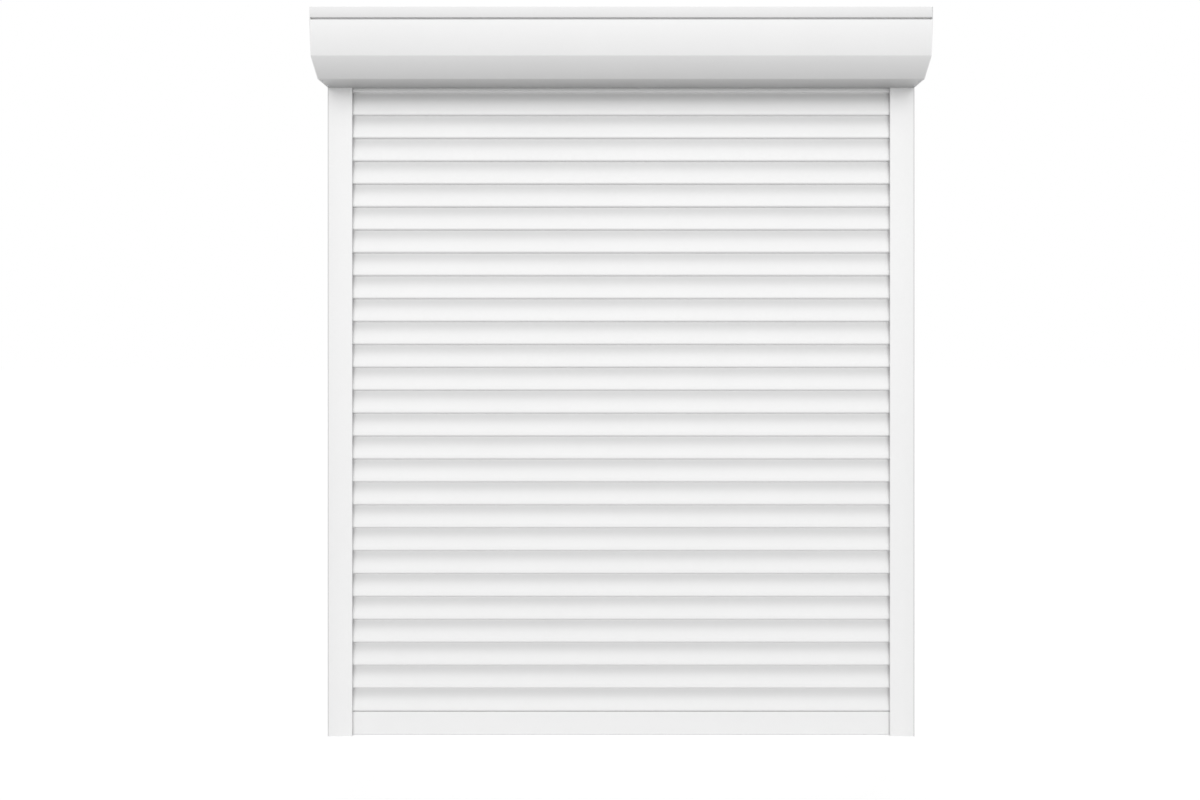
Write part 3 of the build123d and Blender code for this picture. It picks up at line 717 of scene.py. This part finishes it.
@dataclass
class Curtain(Assembly):
    """The hooked slats: each a rolled double wall whose lip laps over the recessed top of the one below."""

    overlap: float = 1.0
    back: float = -10.5
    back_bend: float = 0.5
    shoulder: float = 3
    edge_bend: float = 1
    face_top: float = -16.4
    belly: float = -23.6
    belly_height: float = 14
    belly_bend: float = 30
    lip_back: float = -16.7
    lip_bend: float = 6
    lip_wall: float = 1.3
    fold: float = 0.3
    pocket_front: float = -20.3
    pocket_back: float = -12.4
    pocket_top: float = 7.4
    pocket_bend: float = 0.8
    back_foot: float = 4.6
    bend_steps: int = 8
    lock_wall: float = 1.8
    lock_inset: float = 0.4
    lock_front_inset: float = 0.6
    lock_foot_inset: float = 1.6
    lock_foot_gap: float = 1
    lock_head_gap: float = 2
    lock_front_bend: float = 6
    lock_foot_bend: float = 2
    lock_back_bend: float = 1
    lock_bend_steps: int = 3
    lock_edge: float = 0.5
    lock_edge_steps: int = 2

    def section(self, base: float) -> list[Corner]:
        """Gives the outline of one slat.

        Args:
            base: The height of its lip.

        Returns:
            The outline's corners.
        """
        top = base + SLAT_PITCH + self.overlap
        return outline(
            (self.belly, base + self.belly_height, self.belly_bend),
            (self.belly, base, self.lip_bend),
            (self.lip_back, base, self.fold),
            (self.lip_back, base + self.lip_wall, self.fold),
            (self.pocket_front, base + self.lip_wall, self.fold),
            (self.pocket_front, base + self.pocket_top, self.pocket_bend),
            (self.pocket_back, base + self.pocket_top, self.pocket_bend),
            (self.pocket_back, base + self.back_foot, self.fold),
            (self.back, base + self.back_foot, self.back_bend),
            (self.back, top - self.shoulder, self.edge_bend),
            *Hook().points(top),
            (self.face_top, top, self.edge_bend),
        )

    def build(self) -> None:
        """Builds every slat."""
        names = sorted(name for name in self.frame["nodes"] if name.startswith("slat_"))
        for name in names:
            span = Span.of(name)
            low_x, high_x = span.low.x + self.lock_wall, span.high.x - self.lock_wall
            shape = solid_section(self.section(span.low.z), low_x, high_x, self.bend_steps)
            self.show(shape, name + "_rolled", "slat_coating", name, name)
            self.locks(name, span)
        LOG.info("curtain: %d slats", len(names))

    def locks(self, name: str, span: Span) -> None:
        """Builds a slat's two moulded end locks, which keep it from sliding sideways.

        Args:
            name: The slat's node and body.
            span: The slat's box.
        """
        front, back, outside = self.belly, self.back - self.lock_inset, span.low.x
        foot = span.low.z + self.pocket_top + self.lock_foot_gap
        head = span.low.z + SLAT_PITCH + self.overlap - self.lock_head_gap
        corners = outline(
            (front + self.lock_front_inset, span.low.z + self.belly_height, self.lock_front_bend),
            (front + self.lock_foot_inset, foot, self.lock_foot_bend),
            (back, foot, self.lock_back_bend),
            (back, head, self.lock_back_bend),
            (self.face_top + self.lock_inset, head, self.lock_back_bend),
        )
        shape = solid_section(corners, outside, outside + self.lock_wall, self.lock_bend_steps)
        outer = [
            edge for edge in shape.edges if all(abs(vert.co.x - outside) < MERGE for vert in edge.verts)
        ]
        soften(shape, outer, self.lock_edge, self.lock_edge_steps)
        everything = shape.verts[:] + shape.edges[:] + shape.faces[:]
        bmesh.ops.mirror(shape, geom=everything, axis="X", merge_dist=MERGE)
        self.show(shape, name + "_end_locks", "white_plastic", body=name)


# The bottom bar
@dataclass
class BottomBar(Assembly):
    """The flat hollow bar under the curtain, its two end caps and the rubber seal that meets the sill."""

    body: str = "bottom_bar"
    wall: float = 1.0
    foot: float = 1.0
    top: float = 75.2
    shoulder: float = 3
    edge: float = 1.2
    back_bend: float = 1
    groove_height: float = 9
    groove_mouth: float = 3
    mouth_bend: float = 0.3
    groove_bend: float = 0.2
    seal_gap: float = 0.3
    seal_head: float = 3
    seal_head_bend: float = 0.6
    seal_neck_bend: float = 0.3
    rib_bend: float = 0.8
    valley_half: float = 0.8
    valley_depth: float = 0.6
    valley_bend: float = 0.4
    cap_edge: float = 0.5
    cap_edge_steps: int = 3

    def build(self) -> None:
        """Builds the bar, its seal and its caps."""
        self.bar()
        self.seal()
        self.caps()
        LOG.info("bottom bar: bar, seal and caps")

    def bar(self) -> None:
        """Builds the bar with its hook and the groove of its seal."""
        span = Span.of("bottom_bar")
        front, back = span.low.y, span.high.y
        floor, web = self.foot + self.wall, self.foot + self.groove_height
        section = outline(
            (front, self.foot, self.edge),
            (front + self.groove_mouth, self.foot, self.mouth_bend),
            (front + self.groove_mouth, floor, self.groove_bend),
            (front + self.wall, floor),
            (front + self.wall, web),
            (back - self.wall, web),
            (back - self.wall, floor),
            (back - self.groove_mouth, floor, self.groove_bend),
            (back - self.groove_mouth, self.foot, self.mouth_bend),
            (back, self.foot, self.edge),
            (back, self.top - self.shoulder, self.back_bend),
            *Hook().points(self.top),
            (front, self.top, self.edge),
        )
        shape = solid_section(section, span.low.x, span.high.x)
        self.show(shape, "bottom_bar_extrusion", "profile_coating", "bottom_bar")

    def seal(self) -> None:
        """Builds the rubber seal: a head held in the groove, and two ribs on the sill."""
        span = Span.of("bottom_seal")
        front, back = span.low.y, span.high.y
        neck = self.groove_mouth - self.wall
        low = self.foot + self.wall + self.seal_gap
        high = low + self.seal_head
        valley, middle = low * self.valley_depth, (front + back) / 2
        section = outline(
            (front + neck, 0, self.rib_bend),
            (middle - self.valley_half, 0, self.rib_bend),
            (middle - self.valley_half, valley, self.valley_bend),
            (middle + self.valley_half, valley, self.valley_bend),
            (middle + self.valley_half, 0, self.rib_bend),
            (back - neck, 0, self.rib_bend),
            (back - neck, low, self.seal_neck_bend),
            (back, low, self.seal_head_bend),
            (back, high, self.seal_head_bend),
            (front, high, self.seal_head_bend),
            (front, low, self.seal_head_bend),
            (front + neck, low, self.seal_neck_bend),
        )
        shape = solid_section(section, span.low.x, span.high.x)
        self.show(shape, "bottom_seal_two_ribs", "seal_rubber", "bottom_seal")

    def caps(self) -> None:
        """Builds the two flat end caps with rounded edges."""
        node = "bottom_bar_end_caps"
        span = Span.of(node)
        inside = Span.of("bottom_bar").high.x
        shape = bmesh.new()
        for low_x, high_x in ((-span.high.x, -inside), (inside, span.high.x)):
            low, high = Vector((low_x, *span.low.yz)), Vector((high_x, *span.high.yz))
            add_block(shape, low, high)
        soften(shape, shape.edges[:], self.cap_edge, self.cap_edge_steps)
        self.show(shape, "bottom_bar_moulded_caps", "white_plastic", node)


# The box
@dataclass
class Box(Assembly):
    """The rolled box: a top and back panel, and a bevelled front panel hooked under its lip."""

    wall: float = 1.2
    bend: float = 2.5
    hem_bend: float = 1.4
    lip_height: float = 33
    groove: float = 6.5
    lip_return: float = 9
    hem: float = 6
    hook_gap: float = 1
    bevel_height: float = 54
    face_lean: float = 12
    bevel_run: float = 63
    inlet_front: float = 30
    inlet_back: float = 8.6
    inlet_lip: float = 12

    def build(self) -> None:
        """Builds both panels."""
        self.top_back()
        self.front()
        LOG.info("box: two rolled panels")

    def top_back(self) -> None:
        """Builds the panel that covers the top and the wall side."""
        node = "box_top_back_panel"
        span = Span.of(node)
        low, top, front = span.low.z, span.high.z, span.low.y
        lip = top - self.lip_height
        corners = outline(
            (-self.inlet_back, low),
            (0, low, self.bend),
            (0, top, self.bend),
            (front, top, self.bend),
            (front, lip, self.hem_bend),
            (front + self.lip_return, lip, self.hem_bend),
            (front + self.lip_return, lip + self.hem),
        )
        shape = bent_sheet(corners, span.low.x, span.high.x, self.wall)
        self.show(shape, "box_top_back_rolled", "panel_coating", node)

    def front(self) -> None:
        """Builds the panel with the face, the bevel and the underside."""
        node = "box_front_panel"
        span = Span.of(node)
        low, front = span.low.z, span.low.y
        groove_top = Span.of("box_top_back_panel").high.z - self.lip_height
        groove_low = groove_top - self.groove
        bevel = front + self.face_lean
        hook = front + self.lip_return + self.hook_gap
        corners = outline(
            (hook + self.wall, groove_top + self.hem),
            (hook + self.wall, groove_low, self.hem_bend),
            (front, groove_low, self.hem_bend),
            (bevel, low + self.bevel_height, self.bend),
            (bevel + self.bevel_run, low, self.bend),
            (-self.inlet_front, low, self.hem_bend),
            (-self.inlet_front, low + self.inlet_lip),
        )
        shape = bent_sheet(corners, span.low.x, span.high.x, self.wall)
        self.show(shape, "box_front_rolled", "panel_coating", node)


@dataclass
class SideCaps(Assembly):
    """The cast side caps, whose outer plate has softly rounded edges."""

    edge_radius: float = 1.2
    edge_steps: int = 3
    rim_angle: float = 30

    def build(self) -> None:
        """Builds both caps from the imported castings."""
        for side in Side:
            node = f"side_cap_{side.value}"
            span = Span.of(node)
            outside = span.high.x if side is Side.RIGHT else span.low.x
            shape = copied(self.frame["nodes"][node])
            rim = [
                edge for edge in shape.edges
                if all(abs(vert.co.x - outside) < MERGE for vert in edge.verts)
                and edge.calc_face_angle(0) > math.radians(self.rim_angle)
            ]
            soften(shape, rim, self.edge_radius, self.edge_steps)
            self.show(shape, node + "_cast", "cap_coating", node)
        LOG.info("side caps: two castings with rounded plates")


@dataclass
class Gland(Assembly):
    """The rubber grommet that closes the cable's hole in the right side cap."""

    bore: float = 3.75
    sleeve: float = 7
    flange: float = 10
    chamfer: float = 0.6
    cap_wall: float = 3
    flange_wall: float = 2
    sides: int = 32

    def build(self) -> None:
        """Builds the grommet on its place in the cap."""
        node = "cable_gland"
        span = Span.of(node)
        middle = (span.low + span.high) / 2
        depth = span.high.x - span.low.x
        under = self.cap_wall + self.flange_wall
        profile = [
            (self.bore, -self.chamfer), (self.bore + self.chamfer, 0),
            (self.sleeve - self.chamfer, 0), (self.sleeve, -self.chamfer),
            (self.sleeve, -self.cap_wall), (self.flange - self.chamfer, -self.cap_wall),
            (self.flange, -self.cap_wall - self.chamfer), (self.flange, self.chamfer - under),
            (self.flange - self.chamfer, -under), (self.sleeve, -under),
            (self.sleeve - self.chamfer, -depth), (self.bore + self.chamfer, -depth),
            (self.bore, self.chamfer - depth),
        ]
        shape = spun(profile, self.sides, closed=True)
        turn = Matrix.Rotation(math.radians(90), 3, "Y")
        bmesh.ops.rotate(shape, cent=(0, 0, 0), matrix=turn, verts=shape.verts)
        bmesh.ops.translate(shape, vec=(span.high.x, middle.y, middle.z), verts=shape.verts)
        self.show(shape, "cable_grommet", "black_plastic", node)
        LOG.info("cable grommet")


@dataclass
class Brushes(Assembly):
    """The brush strips that the curtain runs between: an extruded back with bound tufts of bristle."""

    back_wall: float = 1.2
    back_edge: float = 0.3
    back_edge_steps: int = 2
    column: float = 1.2
    tuft_step: float = 3.0
    tufts_in_run: int = 10
    tuft_sides: int = 6
    root_radius: float = 0.85
    tip_radius: float = 1.12
    short_of_wall: float = 0.05
    stretch: tuple[float, float, float] = (1.02, 1, 1.2)
    sway: float = 0.04
    lean: float = 0.15
    seed: int = 7

    def build(self) -> None:
        """Builds the brushes of both guides."""
        for side in Side:
            node = f"guide_brush_{side.value}"
            span = Span.of(node)
            backs, runs = bmesh.new(), bmesh.new()
            draw = random.Random(self.seed)
            for back, tip in self.strips(self.frame["nodes"][node]):
                root = back + math.copysign(self.back_wall, tip - back)
                low, high = span.low.copy(), span.high.copy()
                low.y, high.y = sorted((back, root))
                soften(backs, add_block(backs, low, high), self.back_edge, self.back_edge_steps)
                self.run(runs, Vector(((low.x + high.x) / 2, root, low.z)), tip, draw)
            self.show(backs, node + "_backs", "black_plastic", node)
            bristles = self.show(runs, node + "_bristles", "brush_pile", node)
            run_height = self.tuft_step * self.tufts_in_run
            repeat = bristles.modifiers.new("tuft_runs", "ARRAY")
            repeat.use_relative_offset = False
            repeat.use_constant_offset = True
            repeat.constant_offset_displace = (0, 0, run_height * MM)
            repeat.count = int((span.high.z - span.low.z) / run_height)
        LOG.info("brushes: four strips of tufts")

    def strips(self, node: bpy.types.Object) -> list[tuple[float, float]]:
        """Finds where the two strips of a packed brush lie.

        Args:
            node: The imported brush.

        Returns:
            The Y of each strip's back and of its tips: the outdoor strip, then the one on the wall side.
        """
        shape = copied(node)
        depths = sorted(
            (min(place.y for place in part), max(place.y for place in part)) for part in loose_parts(shape)
        )
        shape.free()
        (front_low, front_high), (rear_low, rear_high) = depths
        return [(front_low, front_high), (rear_high, rear_low)]

    def run(self, shape: Shape, foot: Vector, tip: float, draw: random.Random) -> None:
        """Adds one run of tufts, each a bundle that spreads a little towards its tip.

        Args:
            shape: The bmesh that takes it.
            foot: The middle of the back's inner face, at the brush's foot.
            tip: Where the bristles end along Y.
            draw: The seeded draw for each tuft's lean.
        """
        length = tip - foot.y
        turn = Matrix.Rotation(math.copysign(math.radians(90), -length), 3, "X")
        for number in range(self.tufts_in_run):
            for column in (-self.column, self.column):
                verts = bmesh.ops.create_cone(
                    shape, cap_ends=True, segments=self.tuft_sides, radius1=self.root_radius,
                    radius2=self.tip_radius, depth=abs(length) - self.short_of_wall,
                )["verts"]
                middle = (foot.x + column, foot.y + length / 2, foot.z + (number + 0.5) * self.tuft_step)
                bmesh.ops.rotate(shape, cent=(0, 0, 0), matrix=turn, verts=verts)
                bmesh.ops.scale(shape, vec=self.stretch, verts=verts)
                bmesh.ops.translate(shape, vec=middle, verts=verts)
                ends = [vert for vert in verts if abs(vert.co.y - tip) < abs(length) / 2]
                shove = (draw.uniform(-self.sway, self.sway), 0, draw.uniform(-self.lean, self.lean))
                bmesh.ops.translate(shape, vec=shove, verts=ends)


@dataclass
class Screws(Assembly):
    """The fixing screws: a domed head with a cross recess over a threaded shank."""

    head_radius: float = 4
    head_height: float = 2.2
    flat_radius: float = 2.5
    rim: tuple[tuple[float, float], ...] = ((3.9, 0), (4, -0.15), (4, -0.45))
    dome: tuple[tuple[float, float], ...] = ((3.84, -0.9), (3.52, -1.4), (3.04, -1.85))
    arm: float = 1.75
    arm_width: float = 0.42
    recess_depth: float = 1.3
    recess_taper: float = 0.7
    shank_radius: float = 2
    root_radius: float = 1.65
    tip_radius: float = 0.825
    tip_bevel: float = 0.4
    point: float = 1
    thread: float = 1.4
    neck: float = 0.6
    length: float = 9
    sides: int = 24
    smooth_angle: float = 30

    def profile(self) -> list[tuple[float, float]]:
        """Gives half of a screw's outline, from its point down to the flat of its head.

        Returns:
            Radius and height of each point.
        """
        points = [(0.0, self.length), (self.tip_radius, self.length - self.tip_bevel)]
        height = self.length - self.point
        while height > 2 * self.thread:
            points += [(self.root_radius, height), (self.shank_radius, height - self.thread / 2)]
            height -= self.thread
        points += [(self.root_radius, height), (self.shank_radius, height - self.neck)]
        flat = (self.flat_radius, -self.head_height)
        return [*points, (self.shank_radius, 0), *self.rim, *self.dome, flat]

    def blank(self) -> Shape:
        """Makes one screw on the Z axis, its head's underside at zero and its shank upwards.

        Returns:
            The screw.
        """
        shape = spun(self.profile(), self.sides, closed=False)
        flat = -self.head_height
        border = [
            edge for edge in shape.edges
            if edge.is_boundary and all(abs(vert.co.z - flat) < MERGE for vert in edge.verts)
        ]
        wide, narrow = self.arm, self.arm_width
        points = []
        for quarter in range(4):
            turn = Matrix.Rotation(math.radians(90 * quarter), 2)
            for place in ((wide, -narrow), (wide, narrow), (narrow, narrow)):
                points.append(shape.verts.new((*(turn @ Vector(place)), flat)))
        floor = shape.faces.new(points)
        bmesh.ops.bridge_loops(shape, edges=border + list(floor.edges))
        deep = new_verts(bmesh.ops.extrude_face_region(shape, geom=[floor]))
        bmesh.ops.delete(shape, geom=[floor], context="FACES_ONLY")
        bmesh.ops.translate(shape, vec=(0, 0, self.recess_depth), verts=deep)
        bmesh.ops.scale(shape, vec=(self.recess_taper, self.recess_taper, 1), verts=deep)
        return shape

    def build(self) -> None:
        """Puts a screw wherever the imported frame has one."""
        node = "fixing_screws"
        packed = copied(self.frame["nodes"][node])
        places = [self.place(part) for part in loose_parts(packed)]
        packed.free()
        blank = self.blank()
        mesh = bpy.data.meshes.new("screw_blank")
        blank.to_mesh(mesh)
        blank.free()
        shape = bmesh.new()
        for place in places:
            before = set(shape.verts)
            shape.from_mesh(mesh)
            new = [vert for vert in shape.verts if vert not in before]
            bmesh.ops.transform(shape, matrix=place, verts=new)
        bpy.data.meshes.remove(mesh)
        self.show(shape, node + "_cross_heads", "bright_steel", node)
        LOG.info("fixing screws: %d", len(places))

    def place(self, part: list[Vector]) -> Matrix:
        """Finds a packed screw's place and direction.

        Args:
            part: The places of its vertices.

        Returns:
            The matrix that puts the blank there.
        """
        low = Vector([min(place[axis] for place in part) for axis in range(3)])
        high = Vector([max(place[axis] for place in part) for axis in range(3)])
        middle, size = (low + high) / 2, high - low
        axis = max(range(3), key=lambda number: size[number])
        along = Vector([int(number == axis) for number in range(3)])
        offsets = [place - middle for place in part]
        head_side = sum(
            offset @ along for offset in offsets
            if (offset - offset.project(along)).length > (self.shank_radius + self.head_radius) / 2
        )
        inward = along if head_side < 0 else -along
        underside = middle + inward * (self.head_height - size[axis] / 2)
        return Matrix.Translation(underside) @ inward.to_track_quat("Z", "Y").to_matrix().to_4x4()


# Studio
@dataclass
class Studio:
    """A pale floor, soft light from before and behind, and the camera."""

    photo_width: int = 1200
    photo_height: int = 800
    sensor: float = 36.0
    lens: float = 26.56
    height: float = 1300
    distance: float = 2866
    middle_pixel: float = 621.1
    horizon_pixel: float = 334.9
    key_strength: float = 1.37
    key_width: float = 60
    key_height: float = 24
    fill_strength: float = 0.7
    sky_strength: float = 0.55
    floor_reach: float = 30  # metres
    floor_colour: str = "E4E4E4"
    floor_shown: str = "F3F3F3"
    floor_glow: float = 0.3

    def build(self, guide_front: float) -> None:
        """Builds the floor, world, lamps and camera.

        Args:
            guide_front: The Y place of the guides' front faces.
        """
        self.floor()
        self.world()
        self.lamps()
        self.camera(guide_front)
        bpy.context.scene.view_settings.view_transform = "Standard"

    def camera(self, guide_front: float) -> None:
        """Places the camera square to the guides.

        Args:
            guide_front: The Y place of the guides' front faces.
        """
        data = bpy.data.cameras.new("photo_camera")
        data.sensor_width = self.sensor
        data.lens = self.lens
        data.shift_x = (self.photo_width / 2 - self.middle_pixel) / self.photo_width
        data.shift_y = (self.horizon_pixel - self.photo_height / 2) / self.photo_width
        camera = bpy.data.objects.new("photo_camera", data)
        camera.location = (0, (guide_front - self.distance) * MM, self.height * MM)
        camera.rotation_euler = (math.radians(90), 0, 0)
        bpy.context.scene.collection.objects.link(camera)
        bpy.context.scene.camera = camera

    def floor(self) -> None:
        """Makes the floor, which the camera sees as white and which keeps the shadow."""
        shape = bmesh.new()
        bmesh.ops.create_grid(shape, x_segments=1, y_segments=1, size=self.floor_reach)
        mesh = bpy.data.meshes.new("floor")
        shape.to_mesh(mesh)
        shape.free()
        floor = bpy.data.objects.new("floor", mesh)
        bpy.context.scene.collection.objects.link(floor)
        material, tree = new_material("pale_floor")
        bounce = add_node(tree, "BsdfDiffuse", {"Color": linear(self.floor_colour)})
        paint = add_node(tree, "BsdfDiffuse", {"Color": linear(self.floor_shown)})
        glow = add_node(tree, "Emission", {"Color": WHITE, "Strength": self.floor_glow})
        shown = add_node(tree, "AddShader", {}, {0: paint.outputs[0], 1: glow.outputs[0]})
        both = add_node(
            tree, "MixShader", {}, {0: seen_directly(tree), 1: bounce.outputs[0], 2: shown.outputs[0]},
        )
        add_node(tree, "OutputMaterial", {}, {"Surface": both.outputs[0]})
        mesh.materials.append(material)

    def world(self) -> None:
        """Makes the plain soft surround."""
        world = bpy.data.worlds.new("studio")
        bpy.context.scene.world = world
        world.use_nodes = True
        tree = world.node_tree
        tree.nodes.clear()
        strength = add_node(
            tree, "MapRange", {"To Min": self.sky_strength, "To Max": 1.0}, {"Value": seen_directly(tree)},
        )
        sky = add_node(tree, "Background", {"Color": WHITE}, {"Strength": strength.outputs["Result"]})
        add_node(tree, "OutputWorld", {}, {"Surface": sky.outputs[0]})

    def lamps(self) -> None:
        """Hangs one soft lamp before the shutter and one behind it."""
        lamps = ("key_softbox", self.key_strength, 0), ("back_softbox", self.fill_strength, 180)
        for name, strength, turn in lamps:
            data = bpy.data.lights.new(name, "SUN")
            data.angle = math.radians(self.key_width)
            data.energy = strength
            lamp = bpy.data.objects.new(name, data)
            lamp.rotation_euler = (math.radians(90 - self.key_height), 0, math.radians(turn))
            bpy.context.scene.collection.objects.link(lamp)


def dress_nodes(frame: dict, materials: dict[str, bpy.types.Material]) -> None:
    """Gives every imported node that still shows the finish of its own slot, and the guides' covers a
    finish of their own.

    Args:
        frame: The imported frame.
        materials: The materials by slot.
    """
    slots = {part["node"]: part["material_slot"] for part in frame["record"]["subparts"]}
    for name, node in frame["nodes"].items():
        if not node.hide_render:
            dress(node, materials["guide_cover" if name.startswith("guide_cover") else slots[name]])


def main() -> None:
    """Builds the shutter's looks, piece by piece, and the studio around it."""
    logging.basicConfig(level=logging.INFO, format="%(name)s %(message)s")
    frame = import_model()
    materials = {slot: finish.build() for slot, finish in FINISHES.items()}
    for assembly in (Curtain, BottomBar, Box, SideCaps, Gland, Brushes, Screws):
        assembly(frame, materials).build()
    dress_nodes(frame, materials)
    Studio().build(Span.of("guide_cover_left").low.y)


if __name__ == "__main__":
    main()
